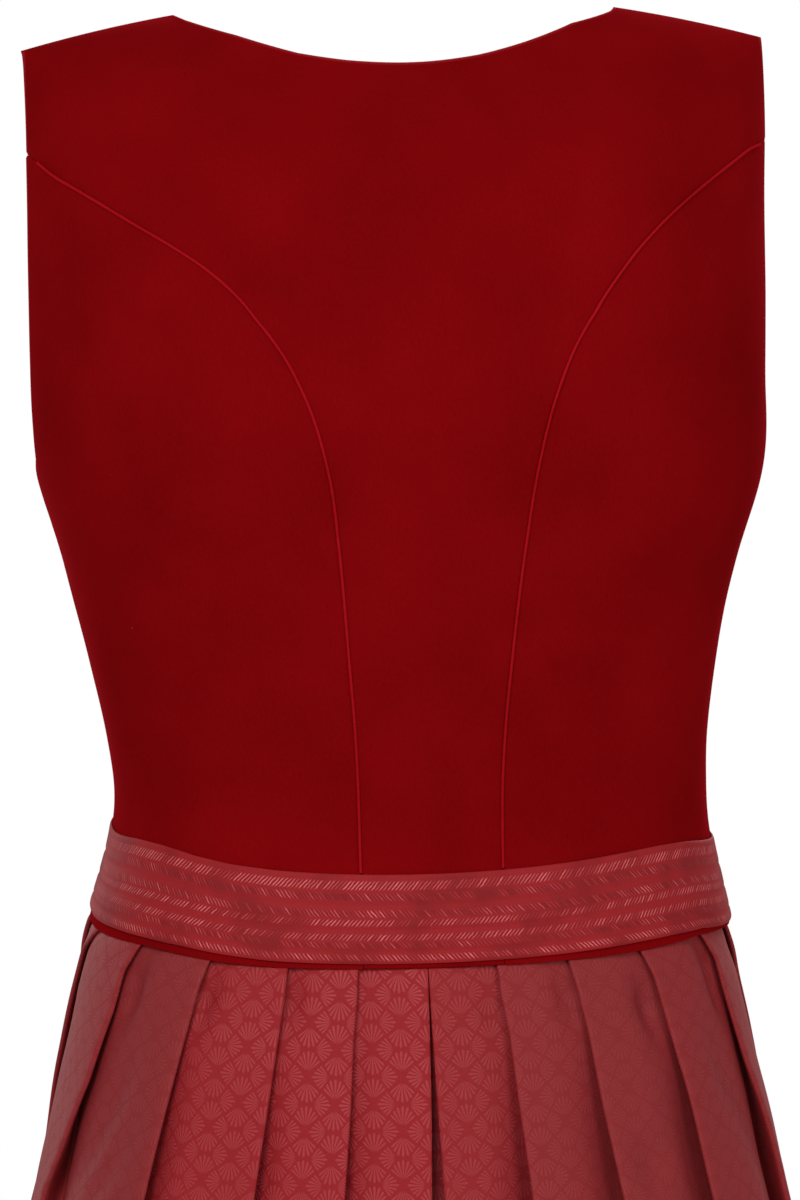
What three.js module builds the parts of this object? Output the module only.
// Dirndl: sleeveless velvet bodice, chevron waistband, knife-pleated skirt, button placket.
// Millimetres, +Z up. The front faces -Y and the wearer's left is +X.
// Heights are worked out from the waist seam (0) and the whole group is then lowered so that
// the origin is midway between the two shoulder seams, where the dress hangs from the wearer.
import * as THREE from 'three';

// ---------------------------------------------------------------- driving sizes
const VELVET = 2;            // wall of the bodice panels
const BAND_WALL = 1.3;       // wall of the waistband
const SKIRT_WALL = 1;        // wall of the skirt cloth
const PLACKET_WALL = 1.5;    // wall of the button placket
const GAP = 0.3;             // between neighbouring pieces
const SHOULDER_HEIGHT = 402; // waist seam to the middle of the shoulder seam
const SHOULDER_LEVEL = 435;  // surface level of the shoulder seam
const CHEST = 285;           // above this level the surface rolls over to the shoulder
const ROUND = 2.3;           // squareness of the body sections (2 is an ellipse)
const NECK_HALF = 98;        // half the width between the neck points
const ARM_HALF = 164.8;      // half the width between the shoulder tips
const BACK_NECK = 390;       // height of the back neckline at the centre
const NECK_POINT = 409;      // height of the neck points
const FRONT_NECK = 258;      // height of the front neckline at the centre
const UNDERARM = 207;        // height of the side seam
const PIPING_RADIUS = 0.7;
const PLACKET_HALF = 12;
const BUTTON_RADIUS = 6;
const BUTTONS = 8, FIRST_BUTTON = 22, BUTTON_PITCH = 30;
const FOLD = 30.7;           // depth of every pleat behind the next one
const LAST_PANEL = 30.6;     // from the last pleat's edge to the centre front
const SKIRT_LENGTH = 690;

// body: height above the waist seam, half breadth, depth of the back, depth of the front
const BODY = [
  { z: 0, half: 145.1, back: 105, front: 104 },
  { z: 45, half: 134.9, back: 98, front: 99 },
  { z: 75, half: 134.4, back: 96, front: 101 },
  { z: 120, half: 141.0, back: 101, front: 114 },
  { z: 165, half: 151.0, back: 108, front: 129 },
  { z: 207, half: 163.0, back: 114, front: 133 },
  { z: 250, half: 165.3, back: 117, front: 120 },
  { z: 285, half: 166.2, back: 116, front: 107 },
  { z: 320, half: 166.2, back: 114, front: 96 },
];
// seam half distances from the middle, and the armhole edges
const BACK_SEAM = [
  { z: 0, x: 31 }, { z: 54, x: 31.2 }, { z: 81, x: 31.6 }, { z: 108, x: 33 }, { z: 135, x: 35.3 },
  { z: 162, x: 37.7 }, { z: 188, x: 40.5 }, { z: 214, x: 44 }, { z: 240, x: 50 }, { z: 258, x: 56.5 },
  { z: 273, x: 64 }, { z: 288, x: 75 }, { z: 301, x: 90 }, { z: 311, x: 105 }, { z: 321, x: 122 },
  { z: 333, x: 142 }, { z: 347, x: 164.5 },
];
const BACK_ARM = [
  { z: 207, x: 163.0 }, { z: 225, x: 163.9 }, { z: 265, x: 163.4 }, { z: 310, x: 163.2 }, { z: 350, x: 163.5 },
  { z: 395, x: 164.2 }, { z: 435, x: 164.8 },
];
const FRONT_SEAM = [
  { z: 0, x: 50 }, { z: 45, x: 50 }, { z: 75, x: 54 }, { z: 105, x: 62 }, { z: 130, x: 70 },
  { z: 150, x: 76 }, { z: 172, x: 81 }, { z: 195, x: 86 }, { z: 220, x: 93 }, { z: 243, x: 102 },
  { z: 262, x: 113 }, { z: 280, x: 128 }, { z: 296, x: 148 },
];
const FRONT_ARM = [
  { z: 207, x: 163.0 }, { z: 215, x: 161 }, { z: 230, x: 156 }, { z: 255, x: 150 }, { z: 280, x: 147.6 },
  { z: 310, x: 148 }, { z: 350, x: 152 }, { z: 395, x: 159 }, { z: 435, x: 164.8 },
];
// skirt: depth below the waist seam, half breadth, back and front depth, half opening at centre back
const SKIRT = [
  { z: 0, half: 145.1, back: 105, front: 104, open: 0.9 },
  { z: 25, half: 151, back: 112, front: 109, open: 1.3 },
  { z: 65, half: 160.0, back: 122, front: 116, open: 2.2 },
  { z: 121, half: 172.4, back: 134, front: 125, open: 3.9 },
  { z: 200, half: 191, back: 149, front: 138, open: 6.6 },
  { z: 330, half: 221, back: 176, front: 163, open: 11 },
  { z: 690, half: 300, back: 252, front: 240, open: 24 },
];
// width of each pleat's face at the waist seam, from the centre back round to the front
const PLEATS = [
  { wide: 31 }, { wide: 32 }, { wide: 36.5 }, { wide: 38.5 }, { wide: 38 }, { wide: 36 },
  { wide: 34 }, { wide: 33 }, { wide: 32 }, { wide: 31.5 }, { wide: 31 },
];

// ---------------------------------------------------------------- materials
const cloth = (name, colour, rough) => {
  const m = new THREE.MeshStandardMaterial({ color: colour, roughness: rough });
  m.name = name;
  return m;
};

// ---------------------------------------------------------------- curves
const clamp = (v, lo, hi) => Math.max(lo, Math.min(hi, v));
const lerp = (a, b, t) => a + (b - a) * t;
const smooth = (t) => { const c = clamp(t, 0, 1); return c * c * (3 - 2 * c); };

// smooth curve through a short table
function along(table, z, key) {
  let i = 0;
  while (i < table.length - 2 && z > table[i + 1].z) i++;
  const slope = (j) => {
    const a = Math.max(j - 1, 0), b = Math.min(j + 1, table.length - 1);
    return (table[b][key] - table[a][key]) / (table[b].z - table[a].z);
  };
  const h = table[i + 1].z - table[i].z, t = (z - table[i].z) / h;
  return (1 + 2 * t) * (1 - t) ** 2 * table[i][key] + t * (1 - t) ** 2 * h * slope(i)
    + t * t * (3 - 2 * t) * table[i + 1][key] + t * t * (t - 1) * h * slope(i + 1);
}

// ---------------------------------------------------------------- the figure the bodice follows
const ridge = (x) => 417 - 0.00083 * x * x;      // height of the shoulder line
const LEAN = { back: 0, front: 36 };             // how far the chest slopes back to the shoulder

// point of the body surface: side 'back' or 'front', turn 0 at the middle to PI/2 at the side
function figure(side, turn, level) {
  const low = Math.min(level, CHEST);
  const half = along(BODY, low, 'half'), depth = along(BODY, low, side);
  const x = half * Math.sin(turn) ** (2 / ROUND);
  const share = Math.max(Math.cos(turn), 0) ** (2 / ROUND);
  let y = depth * share, z = level;
  if (level > CHEST) {
    const roll = (level - CHEST) / (SHOULDER_LEVEL - CHEST) * Math.PI / 2;
    z = CHEST + (ridge(x) - CHEST) * Math.sin(roll);
    y = (depth - LEAN[side] * Math.sin(roll)) * share * Math.cos(roll);
  }
  if (side === 'front') y += 14 * Math.exp(-(((x - 80) / 42) ** 2) - ((z - 172) / 45) ** 2);
  return new THREE.Vector3(x, side === 'back' ? y : -y, z);
}
const turnAt = (x, level) =>
  Math.asin(clamp(x / along(BODY, Math.min(level, CHEST), 'half'), 0, 1) ** (ROUND / 2));
const levelAt = (x, z) => (z <= CHEST ? z
  : CHEST + Math.asin(clamp((z - CHEST) / (ridge(x) - CHEST), 0, 1)) * (SHOULDER_LEVEL - CHEST) * 2 / Math.PI);

// surface point with its outward normal; sign is +1 for the wearer's left, -1 for the right
function skin(side, sign, turn, level, out = 0) {
  const h = 1e-3, t = clamp(turn, 0.004, Math.PI / 2 - 0.004), l = clamp(level, 0.1, SHOULDER_LEVEL - 0.1);
  const p = figure(side, turn, level);
  const across = figure(side, t + h, l).sub(figure(side, t - h, l));
  const up = figure(side, t, l + 0.05).sub(figure(side, t, l - 0.05));
  const n = across.cross(up).normalize();
  if (n.y * (side === 'back' ? 1 : -1) < 0 || (Math.abs(n.y) < 0.05 && n.z < -0.5)) n.negate();
  p.addScaledVector(n, out);
  const edge = GAP / 2;
  p.y = side === 'back' ? Math.max(p.y, edge) : Math.min(p.y, -edge);
  return { point: new THREE.Vector3(p.x * sign, p.y, p.z), normal: new THREE.Vector3(n.x * sign, n.y, n.z), side };
}

// a spot on a seam, moved sideways by off: { x, level }
function onSeam(table, level, off) {
  const slope = (along(table, level + 0.5, 'x') - along(table, level - 0.5, 'x'));
  const k = Math.hypot(1, slope);
  return { x: along(table, level, 'x') + off / k, level: level - off * slope / k };
}

// ---------------------------------------------------------------- solids
function body(name, vertices, faces, material) {
  let volume = 0;
  for (const [a, b, c] of faces) volume += vertices[a].dot(new THREE.Vector3().crossVectors(vertices[b], vertices[c]));
  const geometry = new THREE.BufferGeometry();
  geometry.setAttribute('position', new THREE.Float32BufferAttribute(vertices.flatMap((v) => [v.x, v.y, v.z]), 3));
  geometry.setIndex((volume < 0 ? faces.map(([a, b, c]) => [a, c, b]) : faces).flat());
  geometry.computeVertexNormals();
  const mesh = new THREE.Mesh(geometry, material);
  mesh.name = name;
  return mesh;
}

// two matching faces of a cloth (rows of points) closed round the edge
function closed(name, outer, inner, material) {
  const rows = outer.length, cols = outer[0].length, all = rows * cols;
  const vertices = [...outer.flat(), ...inner.flat()], faces = [];
  const quad = (a, b, c, d) => faces.push([a, b, c], [a, c, d]);
  const id = (i, j, layer) => layer * all + i * cols + j;
  for (let i = 0; i < rows - 1; i++) for (let j = 0; j < cols - 1; j++) {
    quad(id(i, j, 0), id(i, j + 1, 0), id(i + 1, j + 1, 0), id(i + 1, j, 0));
    quad(id(i, j, 1), id(i + 1, j, 1), id(i + 1, j + 1, 1), id(i, j + 1, 1));
  }
  for (let j = 0; j < cols - 1; j++) {
    quad(id(0, j, 0), id(0, j, 1), id(0, j + 1, 1), id(0, j + 1, 0));
    quad(id(rows - 1, j, 0), id(rows - 1, j + 1, 0), id(rows - 1, j + 1, 1), id(rows - 1, j, 1));
  }
  for (let i = 0; i < rows - 1; i++) {
    quad(id(i, 0, 0), id(i + 1, 0, 0), id(i + 1, 0, 1), id(i, 0, 1));
    quad(id(i, cols - 1, 0), id(i, cols - 1, 1), id(i + 1, cols - 1, 1), id(i + 1, cols - 1, 0));
  }
  return body(name, vertices, faces, material);
}

// cloth lying on the figure: rows of skin() spots, from its outer face inwards
function panel(name, rows, wall, material) {
  const inside = ({ point, normal, side }) => {
    const p = point.clone().addScaledVector(normal, -wall);
    p.y = side === 'back' ? Math.max(p.y, GAP / 2) : Math.min(p.y, -GAP / 2);
    p.z = Math.max(p.z, 0);
    return p;
  };
  return closed(name, rows.map((r) => r.map((s) => s.point)), rows.map((r) => r.map(inside)), material);
}

// rows between an inner and an outer edge, both lists of { x, level }
function between(side, sign, inner, outer, shares) {
  return inner.map((a, i) => {
    const b = outer[i], from = turnAt(a.x, a.level), to = turnAt(b.x, b.level);
    return shares.map((s) => skin(side, sign, lerp(from, to, s), lerp(a.level, b.level, s)));
  });
}

// ---------------------------------------------------------------- bodice panels
const velvet = (part) => cloth(`velvet ${part}`, 0x770508, 0.9);
const SEAM_ROWS = [0, 15, 30, 45, 60, 75, 90, 108, 140, 168, 196, 222, 244, 262, 278, 292, 305, 316, 327, 337, 346];
const EDGE_ROWS = [0, 15, 30, 45, 60, 75, 90, 105, 130, 152, 174, 192, 207, 211, 219, 233, 252, 276, 302, 325, 344.5];
const ARM_ROWS = [356, 372, 393, 414, 435];
const backArm = (level) => (level <= UNDERARM ? along(BODY, level, 'half') : along(BACK_ARM, level, 'x'));

function backCentre() {
  const columns = [0, 0.2, 0.4, NECK_HALF / ARM_HALF, 0.73, 0.865, 1];
  const neckLevel = (x) => (x >= NECK_HALF ? SHOULDER_LEVEL
    : levelAt(x, BACK_NECK + (NECK_POINT - BACK_NECK) * (x / NECK_HALF) ** 1.6));
  const edges = [...SEAM_ROWS.map((l) => onSeam(BACK_SEAM, l, -GAP / 2)),
    ...ARM_ROWS.map((l) => ({ x: backArm(l), level: l }))];
  const rows = edges.map(({ x, level }) => {
    const lift = smooth((level - 230) / (SHOULDER_LEVEL - 230));
    return [...columns.slice(1).reverse().map((u) => -u), ...columns].map((u) => {
      const side = Math.abs(u), top = neckLevel(side * ARM_HALF) / SHOULDER_LEVEL;
      const l = level * (1 + lift * (top - 1));
      return skin('back', u < 0 ? -1 : 1, turnAt(x * side, l), l);
    });
  });
  return panel('back_centre', rows, VELVET, velvet('back'));
}

function backSide(sign, name) {
  const inner = SEAM_ROWS.map((l) => onSeam(BACK_SEAM, l, GAP / 2));
  const outer = EDGE_ROWS.map((l) => ({ level: l, x: backArm(l) }));
  return panel(name, between('back', sign, inner, outer, [0, 0.16, 0.33, 0.5, 0.67, 0.84, 1]), VELVET, velvet('side'));
}

const FRONT_SEAM_ROWS = [0, 15, 30, 45, 60, 75, 90, 105, 130, 150, 172, 195, 220, 243, 262, 280, 295];
const FRONT_ARM_ROWS = [308, 328, 350, 372, 394, 415, 435];
const CENTRE_ROWS = [0, 15, 30, 45, 60, 75, 90, 105, 132, 155, 180, 205, 232, 258];
const NECK_TURNS = [80, 68, 56, 45, 35, 26, 18, 11, 5, 0];

// front neckline: a deep rounded scoop from the centre to the neck point
function frontNeck(degrees) {
  const t = degrees * Math.PI / 180, k = 2 / 2.6;
  const x = NECK_HALF * Math.cos(t) ** k, z = NECK_POINT - (NECK_POINT - FRONT_NECK) * Math.sin(t) ** k;
  return { x, level: degrees === 0 ? SHOULDER_LEVEL : levelAt(x, z) };
}

function frontCentre(sign, name) {
  const inner = [...CENTRE_ROWS.map((l) => ({ x: GAP / 2, level: l })), ...NECK_TURNS.map(frontNeck)];
  const outer = [...FRONT_SEAM_ROWS.map((l) => onSeam(FRONT_SEAM, l, -GAP / 2)),
    ...FRONT_ARM_ROWS.map((l) => ({ x: along(FRONT_ARM, l, 'x'), level: l }))];
  return panel(name, between('front', sign, inner, outer, [0, 0.2, 0.4, 0.6, 0.8, 1]), VELVET, velvet('front'));
}

function frontSide(sign, name) {
  const inner = FRONT_SEAM_ROWS.map((l) => onSeam(FRONT_SEAM, l, GAP / 2));
  const outer = [0, 15, 30, 45, 60, 75, 90, 105, 130, 150, 170, 188, 207, 212, 224, 250, 294]
    .map((l) => ({ level: l, x: l <= UNDERARM ? along(BODY, l, 'half') : along(FRONT_ARM, l, 'x') }));
  return panel(name, between('front', sign, inner, outer, [0, 0.2, 0.4, 0.6, 0.8, 1]), VELVET, velvet('front side'));
}

// ---------------------------------------------------------------- piping along the back seams
function piping(sign, name) {
  const sides = 5, lift = 2 * GAP + PIPING_RADIUS;
  const path = [44.6, 60, ...SEAM_ROWS.filter((l) => l > 60 && l < 340), 343.5].map((l) => {
    const s = onSeam(BACK_SEAM, l, 0), x = Math.min(s.x, ARM_HALF - 2);
    return skin('back', sign, turnAt(x, s.level), s.level, lift);
  });
  const rings = path.map(({ point, normal }, i) => {
    const run = path[Math.min(i + 1, path.length - 1)].point.clone().sub(path[Math.max(i - 1, 0)].point).normalize();
    const across = new THREE.Vector3().crossVectors(normal, run).normalize();
    const out = new THREE.Vector3().crossVectors(run, across).normalize();
    return Array.from({ length: sides }, (_, j) => {
      const a = j * 2 * Math.PI / sides;
      return point.clone().addScaledVector(across, PIPING_RADIUS * Math.cos(a)).addScaledVector(out, PIPING_RADIUS * Math.sin(a));
    });
  });
  const vertices = rings.flat(), faces = [], last = (rings.length - 1) * sides;
  for (let i = 0; i < rings.length - 1; i++) for (let j = 0; j < sides; j++) {
    const a = i * sides + j, b = i * sides + (j + 1) % sides;
    faces.push([a, b, b + sides], [a, b + sides, a + sides]);
  }
  for (let j = 1; j < sides - 1; j++) { faces.push([0, j + 1, j], [last, last + j, last + j + 1]); }
  return body(name, vertices, faces, cloth('velvet piping', 0x8a0c14, 0.8));
}

// ---------------------------------------------------------------- waistband
// height of the band's edges; q is 0 at the middle and 1 at the side
const bandLow = (side, q) => (side === 'back' ? 2.2 + 4.3 * q * q : 3 + 3.5 * q * q);
const bandTop = (side, q) => (side === 'back' ? 40.8 + 7 * q ** 2 - 9 * q ** 8 : 42 - 3.2 * q * q);

function waistband() {
  const out = 0.5 + BAND_WALL, quarter = 16;
  const half = [];   // from the placket round the wearer's left to the centre back
  for (let i = 0; i < quarter; i++) half.push({ side: 'front', share: i / quarter });
  for (let i = 0; i <= quarter; i++) half.push({ side: 'back', share: 1 - i / quarter });
  const columns = [...half.map((c) => ({ ...c, sign: 1 })), ...half.slice(0, -1).reverse().map((c) => ({ ...c, sign: -1 }))];
  const rows = [0, 0.32, 0.66, 1].map((s) => columns.map(({ side, share, sign }) => {
    const q = Math.sin(share * Math.PI / 2) ** (2 / ROUND);
    const level = lerp(bandLow(side, q), bandTop(side, q), s);
    const start = side === 'front' ? turnAt(PLACKET_HALF + 2 * GAP, level) : 0;
    return skin(side, sign, lerp(start, Math.PI / 2, share), level, out);
  }));
  const inner = rows.map((r) => r.map(({ point, normal }) => point.clone().addScaledVector(normal, -BAND_WALL)));
  return closed('waistband', rows.map((r) => r.map((s) => s.point)), inner, cloth('chevron jacquard', 0x9d2a2f, 0.55));
}

// ---------------------------------------------------------------- placket and buttons
function placket() {
  const out = 0.4 + PLACKET_WALL;
  const levels = [1];
  for (let l = FIRST_BUTTON; l < FRONT_NECK - 8; l += BUTTON_PITCH / 2) levels.push(l);
  const rows = [...levels, FRONT_NECK - 1.5].map((l) =>
    [-1, 0, 1].map((u) => skin('front', u < 0 ? -1 : 1, turnAt(Math.abs(u) * PLACKET_HALF, l), l, out)));
  return panel('front_placket', rows, PLACKET_WALL, velvet('placket'));
}

function button(index) {
  const level = FIRST_BUTTON + index * BUTTON_PITCH;
  const { point, normal } = skin('front', 1, 0, level, 0.4 + PLACKET_WALL + GAP);
  // outline of half a button: shank, rounded rim, low dome
  const profile = [
    { r: 0, h: 0 }, { r: 2, h: 0 }, { r: 2, h: 0.9 }, { r: BUTTON_RADIUS - 1, h: 0.9 }, { r: BUTTON_RADIUS, h: 1.8 },
    { r: BUTTON_RADIUS - 0.6, h: 2.9 }, { r: BUTTON_RADIUS - 2.2, h: 3.7 }, { r: 0, h: 4.2 },
  ];
  const sides = 14, vertices = [], faces = [];
  const across = new THREE.Vector3(1, 0, 0), up = new THREE.Vector3().crossVectors(normal, across).normalize();
  profile.forEach(({ r, h }) => {
    const n = r === 0 ? 1 : sides;
    for (let j = 0; j < n; j++) {
      const a = j * 2 * Math.PI / sides;
      vertices.push(point.clone().addScaledVector(normal, h).addScaledVector(across, r * Math.cos(a)).addScaledVector(up, r * Math.sin(a)));
    }
  });
  const top = vertices.length - 1;
  for (let j = 0; j < sides; j++) {
    const k = (j + 1) % sides;
    faces.push([0, 1 + k, 1 + j], [top, top - sides + j, top - sides + k]);
    for (let i = 0; i < profile.length - 3; i++) {
      const a = 1 + i * sides;
      faces.push([a + j, a + k, a + sides + k], [a + j, a + sides + k, a + sides + j]);
    }
  }
  return body(`button_${index + 1}`, vertices, faces, cloth('antique metal button', 0x8f8578, 0.4));
}

// ---------------------------------------------------------------- skirt
// one horizontal section of the skirt: the outline the pleat edges touch, measured from centre back
function section(depth) {
  const half = along(SKIRT, depth, 'half') - SKIRT_WALL / 2, steps = 240;
  const back = along(SKIRT, depth, 'back') - SKIRT_WALL / 2, front = along(SKIRT, depth, 'front') - SKIRT_WALL / 2;
  const spots = [];
  for (let i = 0; i <= 2 * steps; i++) {
    const t = Math.PI / 2 * Math.min(i, 2 * steps - i) / steps;
    const y = Math.cos(t) ** (2 / ROUND) * (i <= steps ? back : -front);
    spots.push({ x: half * Math.sin(t) ** (2 / ROUND), y: i === steps ? 0 : y, run: 0 });
    if (i > 0) spots[i].run = spots[i - 1].run + Math.hypot(spots[i].x - spots[i - 1].x, spots[i].y - spots[i - 1].y);
  }
  const length = spots[2 * steps].run;
  const spot = (run) => {
    let lo = 0, hi = 2 * steps;
    const r = clamp(run, 0, length);
    while (hi - lo > 1) { const m = (lo + hi) >> 1; if (spots[m].run <= r) lo = m; else hi = m; }
    const t = (r - spots[lo].run) / (spots[hi].run - spots[lo].run);
    return { x: lerp(spots[lo].x, spots[hi].x, t), y: lerp(spots[lo].y, spots[hi].y, t) };
  };
  // place a cloth point: run along the outline, deep inside it
  const place = (run, deep) => {
    const p = spot(run), a = spot(run - 4), b = spot(run + 4);
    const tx = b.x - a.x, ty = b.y - a.y, k = Math.hypot(tx, ty);
    return { x: p.x + (ty / k) * deep, y: p.y - (tx / k) * deep };
  };
  return { length, place, open: along(SKIRT, depth, 'open') };
}

// one pleat, seen from its own edge: where its face bends and where it turns back behind the next edge.
// The face is two straight parts that meet BEND of the way along; the flatter the face, the steeper
// its hidden part. As the skirt flares, up to EASE mm of the hidden fold rolls into the face.
const BEND = 0.46, EASE = 16;
function pleat(wide, pitch, ply) {
  const spread = 1 - wide / pitch, ease = EASE * spread, face = wide + FOLD;
  const reach = (face * face - FOLD * FOLD + pitch * pitch) / (2 * pitch);
  const drop = Math.max(Math.sqrt(Math.max(face * face - reach * reach, 0)), 3.4 * ply);
  const back = FOLD - ease, inner = (1 - BEND) * face + ease;
  const steep = Math.asin((drop + ply) / face);
  const onFace = (slope) => ({ run: BEND * face * Math.cos(slope), deep: BEND * face * Math.sin(slope) });
  for (let slope = steep * (1 - clamp(spread / 0.15, 0, 1) * 0.6); spread > 0.02 && slope < steep; slope += 0.01) {
    const bend = onFace(slope), dx = bend.run - pitch, dy = bend.deep - ply, d = Math.hypot(dx, dy);
    if (d < Math.abs(inner - back) + 0.02) continue;
    const near = (back * back - inner * inner + d * d) / (2 * d), off = Math.sqrt(Math.max(back * back - near * near, 0));
    // of the two spots at the right distances, the one further along and deeper
    const [a, b] = [1, -1].map((way) => ({
      run: pitch + (dx * near + way * dy * off) / d, deep: ply + (dy * near - way * dx * off) / d }));
    const turn = a.run + a.deep > b.run + b.deep ? a : b;
    if (turn.deep >= 3.4 * ply) return { bend, turn };
  }
  return { bend: onFace(steep), turn: { run: reach, deep: drop } };
}

// the pleated cloth in one section, from centre back round the wearer's left to centre front
function pleatPath(depth) {
  const { length, place, open } = section(depth);
  const ply = SKIRT_WALL + GAP;                       // spacing of neighbouring plies
  // the faces all widen by the same share as the skirt flares
  const flare = (length - open - LAST_PANEL) / PLEATS.reduce((sum, p) => sum + p.wide, 0);
  let from = open;
  const folds = PLEATS.map(({ wide }) => {
    const pitch = wide * flare;
    from += pitch;
    return { from: from - pitch, to: from, ...pleat(wide, pitch, ply) };
  });
  const over = folds[0].bend.deep * (FOLD - open) / folds[0].bend.run;  // first face above the centre back fold
  const under = Math.max(Math.sqrt(FOLD * FOLD - (FOLD - open) ** 2), over + 1.3 * ply, 3.4 * ply);
  const path = [
    { run: 0, deep: under + ply }, { run: FOLD, deep: under + ply }, { run: FOLD, deep: under },
    { run: open, deep: ply }, { run: open, deep: 0 },
  ];
  for (const { from: start, to, bend, turn } of folds) {
    path.push({ run: start + bend.run, deep: bend.deep });
    path.push({ run: start + turn.run, deep: turn.deep + ply }, { run: start + turn.run, deep: turn.deep });
    path.push({ seam: true });
    path.push({ run: to, deep: ply }, { run: to, deep: 0 });
  }
  path.push({ run: length - LAST_PANEL / 2, deep: 0 }, { run: length - GAP / 2, deep: 0 });
  const placed = path.map((p) => (p.seam ? p : place(p.run, p.deep)));
  // the side seam's spot is halfway along its straight return ply
  return placed.map((p, i) => (p.seam
    ? { seam: true, x: (placed[i - 1].x + placed[i + 1].x) / 2, y: (placed[i - 1].y + placed[i + 1].y) / 2 } : p));
}

// both faces of the cloth, half a wall to each side of its middle line
function faces2(path) {
  const n = path.length;
  return path.map((p, i) => {
    const a = path[Math.max(i - 1, 0)], b = path[Math.min(i + 1, n - 1)];
    let ax = p.x - a.x, ay = p.y - a.y, bx = b.x - p.x, by = b.y - p.y;
    if (i === 0) { ax = bx; ay = by; }
    if (i === n - 1) { bx = ax; by = ay; }
    const ka = Math.hypot(ax, ay), kb = Math.hypot(bx, by);
    const nax = -ay / ka, nay = ax / ka, nbx = -by / kb, nby = bx / kb;
    let mx = nax + nbx, my = nay + nby;
    const k = Math.hypot(mx, my); mx /= k; my /= k;
    const miter = Math.min(SKIRT_WALL / 2 / Math.max(mx * nax + my * nay, 0.5), SKIRT_WALL * 0.9);
    return { out: [p.x + mx * miter, p.y + my * miter], in: [p.x - mx * miter, p.y - my * miter] };
  });
}

const SKIRT_ROWS = SKIRT.map((r) => r.z);
const SEAM_PLEAT = 4;   // the side seam lies in the return ply after this panel

// piece 'back', 'left' or 'right'
function skirtPiece(piece, name) {
  const outer = [], inner = [];
  for (const depth of SKIRT_ROWS) {
    const z = -Math.max(depth, GAP);
    const path = pleatPath(depth);
    const seamIndex = 5 + SEAM_PLEAT * 6 + 3;
    const seam = path[seamIndex], before = path[seamIndex - 1], after = path[seamIndex + 1];
    const towards = (p, q, d) => { const k = Math.hypot(q.x - p.x, q.y - p.y); return { x: p.x + (q.x - p.x) * d / k, y: p.y + (q.y - p.y) * d / k }; };
    const keep = (list) => list.filter((p) => !p.seam);
    let line;
    if (piece === 'back') {
      const left = [...keep(path.slice(0, seamIndex)), towards(seam, before, GAP / 2)];
      line = [...left.slice(1).reverse().map((p) => ({ x: -p.x, y: p.y })), ...left];
    } else {
      line = [towards(seam, after, GAP / 2), ...keep(path.slice(seamIndex + 1))];
      line[line.length - 1] = { x: GAP / 2, y: line[line.length - 1].y };
      if (piece === 'right') line = line.map((p) => ({ x: -p.x, y: p.y }));
    }
    const both = faces2(line);
    const edge = (q) => {
      const x = piece === 'back' ? q[0] : (piece === 'left' ? Math.max(q[0], GAP / 2) : Math.min(q[0], -GAP / 2));
      return new THREE.Vector3(x, q[1], z);
    };
    outer.push(both.map((b) => edge(b.out)));
    inner.push(both.map((b) => edge(b.in)));
  }
  return closed(name, outer, inner, cloth(`skirt jacquard ${piece}`, 0x9b3135, 0.6));
}

// ---------------------------------------------------------------- the dress
const group = new THREE.Group();
group.name = 'dirndl';
group.add(
  backCentre(),
  backSide(1, 'back_side_left'), backSide(-1, 'back_side_right'),
  frontSide(1, 'front_side_left'), frontSide(-1, 'front_side_right'),
  frontCentre(1, 'front_centre_left'), frontCentre(-1, 'front_centre_right'),
  piping(1, 'seam_piping_left'), piping(-1, 'seam_piping_right'),
  waistband(), placket(),
  skirtPiece('back', 'skirt_back'), skirtPiece('left', 'skirt_front_left'), skirtPiece('right', 'skirt_front_right'),
);
for (let i = 0; i < BUTTONS; i++) group.add(button(i));
for (const mesh of group.children) mesh.geometry.translate(0, 0, -SHOULDER_HEIGHT);

export default group;
